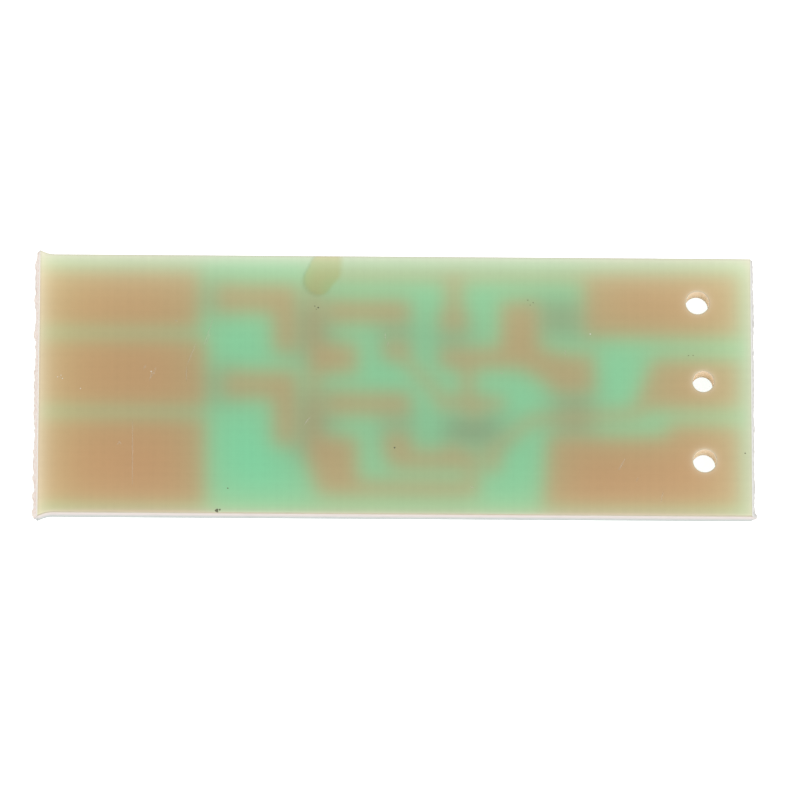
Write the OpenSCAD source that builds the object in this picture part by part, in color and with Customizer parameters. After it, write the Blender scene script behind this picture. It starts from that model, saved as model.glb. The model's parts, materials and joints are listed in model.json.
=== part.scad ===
// Single-sided driver board for a lamp: a strip of translucent glass-epoxy
// laminate, bare on its upper face, with the copper foil, the solder mask and
// the surface-mounted components on its lower face.
// Units are millimetres. +X runs along the board towards the three wire holes,
// +Z points out of the bare face, and the part lies on its three transistors.

/* [Board] */
// Length of the bare face between the two score lines
board_l = 33.4; // [33:0.1:36]
// Width of the board between its two routed edges
board_w = 12.4; // [12.2:0.1:14]
// Thickness of the laminate
board_t = 1.2; // [0.8:0.1:1.6]

/* [Snapped ends] */
// Depth of the score cut in each face
score_depth = 0.35; // [0.2:0.01:0.38]
// How far the score bevel runs out past the bare face
score_run = 0.1; // [0.06:0.01:0.14]
// How far the torn web stands out past the bevel at the led end
led_end_web = 0.12; // [0.04:0.01:0.15]
// How far the torn web stands out past the bevel at the wire end
wire_end_web = 0.07; // [0.03:0.01:0.15]
// How far the longest burr at either end stands past the bare face
burr_reach = 0.3; // [0.3:0.01:0.4]
// How far the flared corners at the led end stand past the long edges
flare_h = 0.2; // [0.1:0.01:0.4]
// Length of those flares along the long edges
flare_l = 0.9; // [0.5:0.05:1.5]

/* [Wire holes] */
// Bore of the two outer wire holes
hole_d = 1.1; // [0.9:0.05:1.3]
// Bore of the middle wire hole
mid_hole_d = 1; // [0.8:0.05:1.3]
// Distance from one wire hole to the next across the board
hole_pitch = 3.81; // [3.7:0.01:3.9]
// Distance of the middle hole above the centre line
mid_hole_y = 0.25; // [0:0.05:0.4]
// Distances of the supply, signal and ground holes from the wire end
hole_in = [2.5, 2.25, 2.2];

/* [Copper foil] */
// Thickness of the copper foil
foil_t = 0.035; // [0.018:0.001:0.07]
// Bare laminate between the foil and the edges of the board
edge_gap = 0.5; // [0.45:0.05:0.6]
// How far a land stands out past its solder
land_lap = 0.05; // [0.05:0.01:0.1]
// Width of the signal track and the diagonal track
track_w = 0.5; // [0.4:0.01:0.6]
// Width of the thin supply rail along the upper edge
rail_w = 0.45; // [0.3:0.01:0.5]
// Width of the supply rail along the lower edge
low_rail_w = 0.7; // [0.5:0.05:0.8]
// Width of the supply bus under the two driver transistors
bus_w = 0.45; // [0.4:0.01:0.6]
// Widths of the three led lands, which are scaled together to fill the board's width
led_land_w = [2.9, 3.4, 4.3];
// Gap between one led land and the next
led_land_gap = 0.4; // [0.3:0.05:0.45]
// Width of the foil between a supply or ground wire hole and the edge of its land
wire_land_rim = 0.95; // [0.6:0.05:1]
// Length of the wide part of the ground land, along the board
ground_land_l = 3.4; // [3:0.1:3.7]
// Width of the foil between the signal wire hole and the edge of its land
signal_land_rim = 0.65; // [0.55:0.05:0.75]
// Length of the signal wire land
signal_land_l = 4.15; // [3.9:0.05:4.5]
// Width of the collector lands of the driver transistors
collector_w = 1.15; // [1:0.05:1.3]
// Width of the bars to the base resistors
bar_w = 1.15; // [1.05:0.01:1.2]
// How far the emitter lands reach past the middle of the driver transistors
emitter_reach = 2.15; // [1.9:0.05:2.2]

/* [Solder mask] */
// Thickness of the mask over the foil
mask_t = 0.025; // [0.01:0.001:0.03]
// Bare laminate left between the mask and the edges
mask_gap = 0.15; // [0.1:0.01:0.3]
// How far a mask opening is wider than its solder, on every side
mask_swell = 0.04; // [0.02:0.01:0.06]
// Width of the bare ring round a wire hole
ring_w = 0.4; // [0.3:0.05:0.45]
// Length of the bare area on each led land
led_open_l = 3; // [2:0.1:5]

/* [Solder] */
// Thickness of the solder under a lead or an end cap
solder_t = 0.04; // [0.03:0.001:0.06]
// Thickness of the tin on the bare lands
tin_t = 0.02; // [0.01:0.001:0.03]
// Height of the solder fillet on a chip
fillet_h = 0.28; // [0.15:0.01:0.35]
// Height of the solder fillet at the toe of a transistor lead
toe_h = 0.08; // [0.05:0.01:0.1]

/* [Transistors] */
// Length of a transistor body
sot_l = 2.9; // [2.8:0.05:3]
// Width of a transistor body
sot_w = 1.3; // [1.2:0.05:1.35]
// Height of a transistor body
sot_h = 0.95; // [0.9:0.01:1.1]
// Gap under a transistor body, above the soles of its leads
sot_gap = 0.05; // [0.01:0.01:0.1]
// Distance across the two rows of leads, toe to toe
sot_span = 2.4; // [2.35:0.01:2.6]
// Distance between the two leads of one row
sot_pitch = 1.9; // [1.8:0.01:1.95]
// How far the body draws in from its parting line to each face
sot_draft = 0.06; // [0.02:0.01:0.1]
// Width of a lead
lead_w = 0.42; // [0.35:0.01:0.5]
// Thickness of a lead
lead_t = 0.13; // [0.1:0.01:0.15]
// Radius of a lead's bends, at the middle of its thickness
lead_bend = 0.12; // [0.1:0.01:0.14]

/* [Small chips] */
// Length of a small chip over its end caps
chip_l = 2; // [1.9:0.05:2.1]
// Width of a small chip
chip_w = 1.25; // [1.2:0.05:1.35]
// Height of a small chip
chip_h = 0.5; // [0.45:0.01:0.6]
// Gap between the two lands of a small chip
chip_gap = 0.8; // [0.7:0.05:0.9]

/* [Large chips] */
// Length of a large chip over its end caps
big_l = 3.2; // [3.1:0.05:3.3]
// Width of a large chip
big_w = 1.6; // [1.5:0.05:1.7]
// Height of the large resistor
big_h = 0.6; // [0.5:0.01:0.7]
// Height of the capacitor
cap_h = 0.85; // [0.7:0.01:0.95]
// Gap between the two lands of a large chip
big_gap = 2.1; // [2:0.05:2.2]

/* [Chip ends] */
// Length of the bare metal on each end of a chip
band_l = 0.4; // [0.3:0.01:0.45]
// Thickness of the end caps
band_t = 0.03; // [0.02:0.001:0.05]
// Thickness of the dark coat on a resistor
coat_t = 0.04; // [0.03:0.001:0.06]

/* [Placing] */
// Place of the first driver transistor
driver_1_at = [-3.9, 2.8];
// Place of the second driver transistor
driver_2_at = [-3.9, -1.7];
// Place of the switch transistor
switch_at = [3.65, -2];
// Place of the series resistor of the first led land
series_1_at = [-8.8, 4.35];
// Place of the series resistor of the second led land
series_2_at = [-8.45, 0.15];
// Place of the base resistor of the first driver
base_1_at = [0.05, 2.75];
// Place of the base resistor of the second driver
base_2_at = [0.1, -1.7];
// Place of the pull-up resistor
pull_up_at = [2.75, 2.4];
// Place of the large resistor
feed_at = [7.8, 3.45];
// Place of the capacitor
capacitor_at = [8.35, -1.2];

/* [Hidden] */
$fn = 48;

// Small amount by which a cutting tool stands past what it cuts
cut = 0.01;

// Heights below the laminate: the soles of the leads, and the whole stack
sole_h = foil_t + solder_t;
under_z = sole_h + sot_gap + sot_h;

// Edges of the bare face and of the foil
end_x = board_l / 2;
side_y = board_w / 2;
foil_y = side_y - edge_gap;
wire_x = end_x - edge_gap;

// Steps along the torn webs, counted from the ground side, and those with the longest burrs
web_steps = 44;
led_burr_step = 29;
wire_burr_step = 1;

// Wire holes, from the supply side to the ground side: place and bore
hole_dia = [hole_d, mid_hole_d, hole_d];
hole_at = [for (i = [0:2]) [end_x - hole_in[i], mid_hole_y + (1 - i) * hole_pitch]];

// Lands under a transistor lead, and how far their middle lies from the body's
pad_l = 0.9;
pad_w = 0.75;
pad_out = sot_span / 2 - 0.1;

// How far the solder of a chip reaches past the chip
chip_pad_out = 0.35;

// Length of a small chip's land
chip_land_l = (chip_l - chip_gap) / 2 + chip_pad_out + land_lap;

// Half the width of the lands of a small and a large chip
half_land = chip_w / 2 + land_lap;
half_big_land = big_w / 2 + land_lap;

// Lead and chip numbers: [place, turn, length, width, gap between lands]
drivers = [[driver_1_at, 90], [driver_2_at, 90], [switch_at, 0]];
chips = [
    [series_1_at, 0, chip_l, chip_w, chip_gap],
    [series_2_at, 0, chip_l, chip_w, chip_gap],
    [base_1_at, 90, chip_l, chip_w, chip_gap],
    [base_2_at, 90, chip_l, chip_w, chip_gap],
    [pull_up_at, 90, chip_l, chip_w, chip_gap],
    [feed_at, 0, big_l, big_w, big_gap],
    [capacitor_at, 90, big_l, big_w, big_gap]
];

// ---------------------------------------------------------------- helpers

// Points on an arc round c, with radius r, from angle a to angle b
function arc(c, r, a, b, n = 6) =
    [for (i = [0:n]) c + r * [cos(a + (b - a) * i / n), sin(a + (b - a) * i / n)]];

// A smooth uneven value between 0 and 1, different at every step i
function rough(i, phase) =
    0.5 + 0.28 * sin(97 * i + phase) + 0.22 * sin(223 * i + 2 * phase);

// Puts what is drawn upwards from z = 0 on the copper side, h below the laminate
module on_copper(h = 0) {
    translate([0, 0, under_z - h]) mirror([0, 0, 1]) children();
}

// A rectangle given by its limits
module land(x0, x1, y0, y1) {
    translate([x0, y0]) square([x1 - x0, y1 - y0]);
}

// The unit vector that points to the left of v
function left_of(v) = [-v[1], v[0]] / norm(v);

// The point that lies d to the left of a route p at its point i, on the mitre there
function beside(p, i, d) =
    let (
        last = len(p) - 1,
        before = i == 0 ? p[1] - p[0] : p[i] - p[i - 1],
        after = i == last ? p[last] - p[last - 1] : p[i + 1] - p[i],
        mitre = left_of(before) + left_of(after)
    )
    p[i] + mitre * 2 * d / (mitre * mitre);

// A track of width w along a route, with mitred bends
module track(p, w) {
    last = len(p) - 1;
    polygon(concat(
        [for (i = [0:last]) beside(p, i, -w / 2)],
        [for (i = [last:-1:0]) beside(p, i, w / 2)]
    ));
}

// One piece of copper foil, drawn flat
module foil() {
    color("#c98a58") on_copper() linear_extrude(foil_t) children();
}

// The three wire holes, drawn flat, each wider by swell all round
module wire_holes(swell = 0) {
    for (i = [0:2]) translate(hole_at[i]) circle(r = hole_dia[i] / 2 + swell);
}

// ---------------------------------------------------------------- laminate

// Outline of the board with the flared corners that the slot ends left
module board_outline() {
    steps = 8;
    out_x = end_x + score_run;
    flare = [for (i = [0:steps]) [-out_x + flare_l * i / steps,
                                  side_y + flare_h * pow(1 - i / steps, 2)]];
    polygon(concat(
        flare,
        [[out_x, side_y], [out_x, -side_y]],
        [for (i = [steps:-1:0]) [flare[i][0], -flare[i][1]]]
    ));
}

// Section along the board: flat faces, and a bevel from each score cut
module score_section() {
    run = end_x + score_run;
    polygon([
        [-end_x, 0], [-run, score_depth], [-run, board_t - score_depth], [-end_x, board_t],
        [end_x, board_t], [run, board_t - score_depth], [run, score_depth], [end_x, 0]
    ]);
}

// The torn web between the two score cuts; its longest burr is at step tip
module torn_web(side, web, half_w, tip, phase) {
    root = end_x + score_run;
    edge = [for (i = [0:web_steps]) [
        i == tip ? end_x + burr_reach : root + web * rough(i, phase),
        -half_w + 2 * half_w * i / web_steps
    ]];
    points = concat([[root - score_depth, half_w], [root - score_depth, -half_w]], edge);
    translate([0, 0, under_z + score_depth]) linear_extrude(board_t - 2 * score_depth)
        polygon([for (p = points) [side * p[0], p[1]]]);
}

module laminate() {
    color("#cfd9b4") difference() {
        union() {
            intersection() {
                translate([0, 0, under_z]) linear_extrude(board_t) board_outline();
                translate([0, side_y + 1, under_z]) rotate([90, 0, 0])
                    linear_extrude(board_w + 2) score_section();
            }
            torn_web(-1, led_end_web, side_y + flare_h / 2, led_burr_step, 40);
            torn_web(1, wire_end_web, side_y - 0.05, wire_burr_step, 75);
        }
        translate([0, 0, under_z - 1]) for (i = [0:2])
            translate(hole_at[i]) cylinder(d = hole_dia[i], h = board_t + 2);
    }
}

// ---------------------------------------------------------------- foil

// The led lands and their two gaps fill the board from edge gap to edge gap
led_sum = led_land_w[0] + led_land_w[1] + led_land_w[2];
led_w = led_land_w * (2 * (foil_y - led_land_gap) / led_sum);
// Lower limits of the led lands: the first keeps to the supply edge, the third to the
// ground edge, and the second lies one gap above the third
led_low = [foil_y - led_w[0], -foil_y + led_w[2] + led_land_gap, -foil_y];
// How far each led land runs in from the led end
led_in = [
    series_1_at[0] - chip_gap / 2,
    series_2_at[0] - chip_gap / 2,
    series_2_at[0] - chip_gap / 2
];

module led_land_shape(i) {
    land(-end_x, led_in[i], led_low[i], led_low[i] + led_w[i]);
}

// From a series resistor to the single lead of a driver transistor
module collector_shape(chip_at, driver_at) {
    lap = 0.1;
    rim_x = driver_at[0] - sot_w / 2 - land_lap;
    top_y = chip_at[1] + chip_w / 2 + lap;
    land(chip_at[0] + chip_gap / 2, rim_x, chip_at[1] - chip_w / 2 - lap, top_y);
    land(rim_x - collector_w, rim_x, driver_at[1] - pad_out, top_y);
}

// From one of a driver's paired leads to its base resistor
module base_shape(driver_at, chip_at) {
    low_y = chip_at[1] + chip_gap / 2;
    land(driver_at[0] + pad_out - pad_l / 2, chip_at[0] + half_land, low_y, low_y + bar_w);
}

// Wire land, rails, bus and emitter lands, all at supply voltage
module supply_shape() {
    feed_rim = feed_at[0] + big_gap / 2;
    bus_x = driver_1_at[0] + land_lap - bus_w / 2;
    emitter_rim = driver_1_at[0] + emitter_reach;
    // inner limit of the two emitter leads, and how far their lands reach down
    pin_rim = sot_pitch / 2 - pad_w / 2;
    emitter_drop = 2.1;
    tab_w = 0.8;
    // lower rail, the riser from it, and the arm to the base resistor
    low_y = -foil_y + 0.55;
    riser_w = 0.5;
    riser_x = switch_at[0] + 0.25;
    pin_y = switch_at[1] - pad_out;
    arm_w = 0.9;
    arm_y = pin_y - 0.75;
    shoulder = 0.15;
    difference() {
        union() {
            land(feed_rim, wire_x, hole_at[0][1] - hole_d / 2 - wire_land_rim, foil_y);
            land(bus_x, feed_rim + cut, foil_y - rail_w, foil_y);
            land(pull_up_at[0] - tab_w / 2, pull_up_at[0] + tab_w / 2,
                 pull_up_at[1] + chip_gap / 2, foil_y);
            land(pull_up_at[0] - half_land, pull_up_at[0] + half_land,
                 pull_up_at[1] + chip_gap / 2, pull_up_at[1] + chip_gap / 2 + chip_land_l);
            land(bus_x, bus_x + bus_w, driver_2_at[1] - pad_out, foil_y);
            land(bus_x, emitter_rim, driver_1_at[1] - emitter_drop, driver_1_at[1] - pin_rim);
            polygon([
                [bus_x + bus_w, low_y], [emitter_rim, low_y],
                [emitter_rim, driver_2_at[1] - pin_rim], [bus_x, driver_2_at[1] - pin_rim],
                [bus_x - shoulder, driver_2_at[1] - pad_out - pad_l / 2]
            ]);
            land(emitter_rim - cut, riser_x, low_y, low_y + low_rail_w);
            land(riser_x - riser_w, riser_x, low_y, arm_y + arm_w);
            land(base_2_at[0] - half_land / 2, riser_x, arm_y, arm_y + arm_w);
            land(base_2_at[0] - half_land, base_2_at[0] + half_land, arm_y + arm_w / 2,
                 base_2_at[1] - chip_gap / 2);
            land(switch_at[0] - (sot_pitch + pad_w) / 2, switch_at[0] - (sot_pitch - pad_w) / 2,
                 pin_y - pad_l / 2, pin_y + pad_l / 2);
        }
        wire_holes();
    }
}

// From the first base resistor, by the switch transistor, to the large chips
module switch_shape() {
    low_y = pull_up_at[1] - chip_gap / 2 - chip_land_l;
    bar_y = pull_up_at[1] - chip_gap / 2;
    // bar and land at the switch transistor's single lead
    pin_y = switch_at[1] + pad_out;
    switch_bar_w = 0.65;
    top_y = pin_y + 0.55;
    riser_w = 0.6;
    riser_x = switch_at[0] - riser_w / 2 + 0.05;
    // land of the large resistor, and the slope to the land of the capacitor
    feed_x = feed_at[0] - big_gap / 2;
    feed_land_l = 1.85;
    cap_y = capacitor_at[1] + big_gap / 2;
    cap_x = capacitor_at[0] - half_big_land - 0.2;
    cap_top = cap_y + 1.9;
    slope_w = 0.6;
    land(base_1_at[0] - half_land, base_1_at[0] + half_land,
         base_1_at[1] - chip_gap / 2 - chip_land_l, base_1_at[1] - chip_gap / 2);
    track([base_1_at - [0, chip_gap / 2 + chip_land_l - track_w],
           [switch_at[0] - 1.3, top_y - track_w / 2]], track_w);
    land(switch_at[0] - 1.8, switch_at[0] + 1.5, top_y - switch_bar_w, top_y);
    land(switch_at[0] - pad_w / 2, switch_at[0] + pad_w / 2, pin_y - pad_l / 2, top_y);
    land(riser_x - riser_w / 2, riser_x + riser_w / 2, top_y - cut, low_y + cut);
    land(pull_up_at[0] - half_land, feed_x - 1, low_y, bar_y);
    land(feed_x - feed_land_l, feed_x, low_y + slope_w, feed_at[1] + half_big_land);
    polygon([
        [feed_x - feed_land_l + cut, low_y + slope_w], [cap_x, cap_y + slope_w / 2],
        [capacitor_at[0], cap_y + slope_w / 2], [capacitor_at[0], cap_top - cut],
        [capacitor_at[0] - slope_w / 2, cap_top - cut], [feed_x - cut, bar_y],
        [feed_x - 2 * slope_w, bar_y]
    ]);
    land(cap_x, capacitor_at[0] + half_big_land + 0.2, cap_y, cap_top);
}

// From the signal wire land, between the capacitor's ends, to the switch transistor
module signal_shape() {
    low_y = hole_at[1][1] - mid_hole_d / 2 - signal_land_rim;
    high_y = hole_at[1][1] + mid_hole_d / 2 + signal_land_rim + 0.1;
    land_x = wire_x - signal_land_l;
    slant = 0.9;
    pin = switch_at + [sot_pitch / 2, -pad_out];
    route = [
        [land_x, low_y + 0.4],
        [land_x - slant, capacitor_at[1] + 0.05],
        [capacitor_at[0] - 2, capacitor_at[1] - track_w / 2],
        pin + [0.1, track_w / 2]
    ];
    difference() {
        union() {
            polygon([
                [land_x - slant, low_y], [wire_x, low_y], [wire_x, high_y], [land_x, high_y]
            ]);
            track(route, track_w);
            land(pin[0] - pad_w / 2, pin[0] + pad_w / 2, pin[1] - pad_l, pin[1] + pad_l / 2);
        }
        wire_holes();
    }
}

// From the ground wire land to the capacitor
module ground_shape() {
    top_y = capacitor_at[1] - big_gap / 2;
    step_x = wire_x - ground_land_l;
    near_x = capacitor_at[0] - half_big_land - 0.35;
    difference() {
        polygon([
            [near_x - 0.25, -foil_y], [wire_x, -foil_y], [wire_x, top_y + 0.6],
            [step_x, top_y + 0.6], [step_x, top_y], [near_x, top_y]
        ]);
        wire_holes();
    }
}

// All the foil, drawn flat
module all_foil() {
    for (i = [0:2]) led_land_shape(i);
    collector_shape(series_1_at, driver_1_at);
    collector_shape(series_2_at, driver_2_at);
    base_shape(driver_1_at, base_1_at);
    base_shape(driver_2_at, base_2_at);
    supply_shape();
    switch_shape();
    signal_shape();
    ground_shape();
}

module led_land_1() foil() led_land_shape(0);
module led_land_2() foil() led_land_shape(1);
module led_land_3() foil() led_land_shape(2);
module collector_foil_1() foil() collector_shape(series_1_at, driver_1_at);
module collector_foil_2() foil() collector_shape(series_2_at, driver_2_at);
module base_foil_1() foil() base_shape(driver_1_at, base_1_at);
module base_foil_2() foil() base_shape(driver_2_at, base_2_at);
module supply_foil() foil() supply_shape();
module switch_foil() foil() switch_shape();
module signal_foil() foil() signal_shape();
module ground_foil() foil() ground_shape();

// ---------------------------------------------------------------- solder

// Solder areas of one transistor: one lead on +Y, two on -Y
module transistor_pads(swell = 0) {
    for (p = [[0, 1], [-sot_pitch / 2, -1], [sot_pitch / 2, -1]])
        translate([p[0], p[1] * pad_out])
            square([pad_w - 0.1 + 2 * swell, pad_l - 0.1 + 2 * swell], center = true);
}

// Solder areas of one chip, under its two ends
module chip_pads(l, w, gap, swell = 0) {
    run = l / 2 + chip_pad_out - gap / 2;
    for (s = [-1, 1]) translate([s * (gap / 2 + run / 2 + 0.03), 0])
        square([run - 0.06 + 2 * swell, w + 2 * swell], center = true);
}

// Bare areas of the led lands
module led_openings(swell = 0) {
    for (i = [0:2])
        land(-end_x + 0.6 - swell, -end_x + 0.6 + led_open_l + swell,
             led_low[i] + 0.35 - swell, led_low[i] + led_w[i] - 0.35 + swell);
}

// Every opening in the solder mask, drawn flat
module mask_openings() {
    for (d = drivers) translate(d[0]) rotate(d[1]) transistor_pads(mask_swell);
    for (c = chips) translate(c[0]) rotate(c[1]) chip_pads(c[2], c[3], c[4], mask_swell);
    led_openings(mask_swell);
    wire_holes(ring_w + mask_swell);
}

module solder_mask() {
    color("#2fa36b") on_copper() difference() {
        linear_extrude(foil_t + mask_t)
            land(-end_x + mask_gap, end_x - mask_gap, -side_y + mask_gap, side_y - mask_gap);
        translate([0, 0, -cut]) linear_extrude(foil_t + cut) all_foil();
        translate([0, 0, -cut]) linear_extrude(foil_t + mask_t + 2 * cut) mask_openings();
    }
}

// Tin on the bare led lands and round the wire holes
module tinned_lands() {
    color("#c9ccc8") on_copper(foil_t) linear_extrude(tin_t) difference() {
        union() {
            led_openings();
            wire_holes(ring_w);
        }
        wire_holes();
    }
}

// Solder fillet: a hollow curve that falls from height h to nothing over run l
module fillet(l, h, w) {
    curve = [for (i = [0:6]) [l * i / 6, h * pow(1 - i / 6, 2)]];
    rotate([90, 0, 0]) translate([0, 0, -w / 2]) linear_extrude(w)
        polygon(concat([[0, -cut]], curve, [[l, -cut]]));
}

module transistor_solder() {
    toe_run = pad_out + pad_l / 2 - 0.05 - sot_span / 2;
    color("#b9bdbb") on_copper(foil_t) for (d = drivers) translate(d[0]) rotate(d[1]) {
        linear_extrude(solder_t) transistor_pads();
        for (p = [[0, 1], [-sot_pitch / 2, -1], [sot_pitch / 2, -1]])
            translate([p[0], p[1] * sot_span / 2, solder_t]) rotate(p[1] * 90)
                fillet(toe_run, toe_h, lead_w);
    }
}

module chip_solder() {
    color("#b9bdbb") on_copper(foil_t) for (c = chips) translate(c[0]) rotate(c[1]) {
        linear_extrude(solder_t) chip_pads(c[2], c[3], c[4]);
        for (s = [0, 180]) rotate(s) translate([c[2] / 2, 0, solder_t])
            fillet(chip_pad_out - 0.03, fillet_h, c[3] - 0.1);
    }
}

// ---------------------------------------------------------------- transistors

// Section of a moulded body: drafted halves that meet in a band as thick as the leads
module body_section(w) {
    mid = sot_h / 2;
    polygon([
        [-w / 2 + sot_draft, 0], [-w / 2, mid - lead_t / 2], [-w / 2, mid + lead_t / 2],
        [-w / 2 + sot_draft, sot_h], [w / 2 - sot_draft, sot_h], [w / 2, mid + lead_t / 2],
        [w / 2, mid - lead_t / 2], [w / 2 - sot_draft, 0]
    ]);
}

module transistor_body(at, turn) {
    color("#2b2b2d") on_copper(sole_h) translate([at[0], at[1], sot_gap]) rotate(turn)
        intersection() {
            rotate([90, 0, 0]) translate([0, 0, -sot_w]) linear_extrude(2 * sot_w)
                body_section(sot_l);
            rotate([90, 0, 90]) translate([0, 0, -sot_l]) linear_extrude(2 * sot_l)
                body_section(sot_w);
        }
}

// Section of a gull-wing lead, from the side of the body out to its toe
module lead_section() {
    mid = sot_gap + sot_h / 2;
    wide = lead_bend + lead_t / 2;
    tight = lead_bend - lead_t / 2;
    top = [sot_w / 2 + 0.05, mid - lead_bend];
    foot = [top[0] + 2 * lead_bend, wide];
    polygon(concat(
        [[sot_w / 2, mid + lead_t / 2]],
        arc(top, wide, 90, 0), arc(foot, tight, 180, 270),
        [[sot_span / 2, lead_t], [sot_span / 2, 0]],
        arc(foot, wide, 270, 180), arc(top, tight, 0, 90),
        [[sot_w / 2, mid - lead_t / 2]]
    ));
}

module transistor_leads(at, turn) {
    color("#c8cac9") on_copper(sole_h) translate(at) rotate(turn)
        for (p = [[0, 90], [-sot_pitch / 2, -90], [sot_pitch / 2, -90]])
            translate([p[0], 0, 0]) rotate(p[1]) translate([0, lead_w / 2, 0])
                rotate([90, 0, 0]) linear_extrude(lead_w) lead_section();
}

module driver_1_body() transistor_body(driver_1_at, 90);
module driver_1_leads() transistor_leads(driver_1_at, 90);
module driver_2_body() transistor_body(driver_2_at, 90);
module driver_2_leads() transistor_leads(driver_2_at, 90);
module switch_body() transistor_body(switch_at, 0);
module switch_leads() transistor_leads(switch_at, 0);

// ---------------------------------------------------------------- chips

// The ceramic block of a chip, inside its end caps
module chip_core(at, turn, size, tint) {
    color(tint) on_copper(sole_h) translate([at[0], at[1], band_t]) rotate(turn)
        translate([-size[0] / 2 + band_t, -size[1] / 2, 0])
            cube([size[0] - 2 * band_t, size[1], size[2] - 2 * band_t]);
}

// The two end caps: each wraps over the end and a short way along both faces
module chip_caps(at, turn, size) {
    color("#c9ccca") on_copper(sole_h) translate(at) rotate(turn) for (s = [0, 180])
        rotate(s) translate([0, size[1] / 2, 0]) rotate([90, 0, 0]) linear_extrude(size[1])
            difference() {
                land(size[0] / 2 - band_l, size[0] / 2, 0, size[2]);
                land(size[0] / 2 - band_l - cut, size[0] / 2 - band_t, band_t, size[2] - band_t);
            }
}

// The dark coat over the resistive film, on the face away from the board
module chip_coat(at, turn, size) {
    run = size[0] - 2 * band_l - 0.04;
    color("#26282b") on_copper(sole_h) translate([at[0], at[1], size[2] - band_t]) rotate(turn)
        translate([-run / 2, -size[1] / 2 + 0.04, 0]) cube([run, size[1] - 0.08, coat_t]);
}

small = [chip_l, chip_w, chip_h];
large = [big_l, big_w, big_h];
tall = [big_l, big_w, cap_h];
white = "#e9e6dc";

module series_resistor_1_core() chip_core(series_1_at, 0, small, white);
module series_resistor_1_caps() chip_caps(series_1_at, 0, small);
module series_resistor_1_coat() chip_coat(series_1_at, 0, small);
module series_resistor_2_core() chip_core(series_2_at, 0, small, white);
module series_resistor_2_caps() chip_caps(series_2_at, 0, small);
module series_resistor_2_coat() chip_coat(series_2_at, 0, small);
module base_resistor_1_core() chip_core(base_1_at, 90, small, white);
module base_resistor_1_caps() chip_caps(base_1_at, 90, small);
module base_resistor_1_coat() chip_coat(base_1_at, 90, small);
module base_resistor_2_core() chip_core(base_2_at, 90, small, white);
module base_resistor_2_caps() chip_caps(base_2_at, 90, small);
module base_resistor_2_coat() chip_coat(base_2_at, 90, small);
module pull_up_resistor_core() chip_core(pull_up_at, 90, small, white);
module pull_up_resistor_caps() chip_caps(pull_up_at, 90, small);
module pull_up_resistor_coat() chip_coat(pull_up_at, 90, small);
module feed_resistor_core() chip_core(feed_at, 0, large, white);
module feed_resistor_caps() chip_caps(feed_at, 0, large);
module feed_resistor_coat() chip_coat(feed_at, 0, large);
module capacitor_core() chip_core(capacitor_at, 90, tall, "#b08a5e");
module capacitor_caps() chip_caps(capacitor_at, 90, tall);

laminate();
solder_mask();
led_land_1();
led_land_2();
led_land_3();
collector_foil_1();
collector_foil_2();
base_foil_1();
base_foil_2();
supply_foil();
switch_foil();
signal_foil();
ground_foil();
tinned_lands();
transistor_solder();
chip_solder();
driver_1_body();
driver_1_leads();
driver_2_body();
driver_2_leads();
switch_body();
switch_leads();
series_resistor_1_core();
series_resistor_1_caps();
series_resistor_1_coat();
series_resistor_2_core();
series_resistor_2_caps();
series_resistor_2_coat();
base_resistor_1_core();
base_resistor_1_caps();
base_resistor_1_coat();
base_resistor_2_core();
base_resistor_2_caps();
base_resistor_2_coat();
pull_up_resistor_core();
pull_up_resistor_caps();
pull_up_resistor_coat();
feed_resistor_core();
feed_resistor_caps();
feed_resistor_coat();
capacitor_core();
capacitor_caps();
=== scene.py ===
# %% [markdown]
# # A small driver board for leds, lying parts-down
#
# The real object is a strip of glass-epoxy laminate, 33 mm long, with copper foil, green
# lacquer and ten tiny parts on one side only. It lies on those parts, so what faces up is
# the bare laminate, and the foil and the lacquer glow through it as soft patches. The
# solids come from the CAD frame, and this lesson gives them their looks: first the tools,
# then the board, then the hidden side, and last the floor, the light and the camera.

# %% Load the frame
import json
import math

import bpy
import numpy as np
from mathutils import Matrix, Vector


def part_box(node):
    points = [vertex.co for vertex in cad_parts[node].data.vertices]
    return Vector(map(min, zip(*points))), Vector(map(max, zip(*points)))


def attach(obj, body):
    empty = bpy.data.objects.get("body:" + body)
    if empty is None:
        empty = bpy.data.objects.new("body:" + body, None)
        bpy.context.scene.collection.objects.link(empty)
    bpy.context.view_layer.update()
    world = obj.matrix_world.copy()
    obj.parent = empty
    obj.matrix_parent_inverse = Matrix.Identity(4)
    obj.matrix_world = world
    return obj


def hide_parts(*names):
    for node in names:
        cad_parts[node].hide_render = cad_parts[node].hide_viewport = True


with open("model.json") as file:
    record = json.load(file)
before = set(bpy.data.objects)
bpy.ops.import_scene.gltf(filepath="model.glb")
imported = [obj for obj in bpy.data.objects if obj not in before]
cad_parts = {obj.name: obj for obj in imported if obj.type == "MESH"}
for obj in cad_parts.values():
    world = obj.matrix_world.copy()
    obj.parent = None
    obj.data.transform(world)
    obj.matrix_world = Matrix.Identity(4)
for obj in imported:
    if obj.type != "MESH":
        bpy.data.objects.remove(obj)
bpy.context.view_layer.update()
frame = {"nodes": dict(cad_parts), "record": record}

print("nodes in the frame:", len(frame["nodes"]))

# %% [markdown]
# ## Working in millimetres
#
# Blender counts in metres, and this board is measured in tenths of a millimetre. So the
# arrays below are in millimetres, and one helper turns them into a mesh. It could add the
# faces one by one, but whole arrays are faster.

# %% From arrays to a mesh
MM = 0.001


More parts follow.
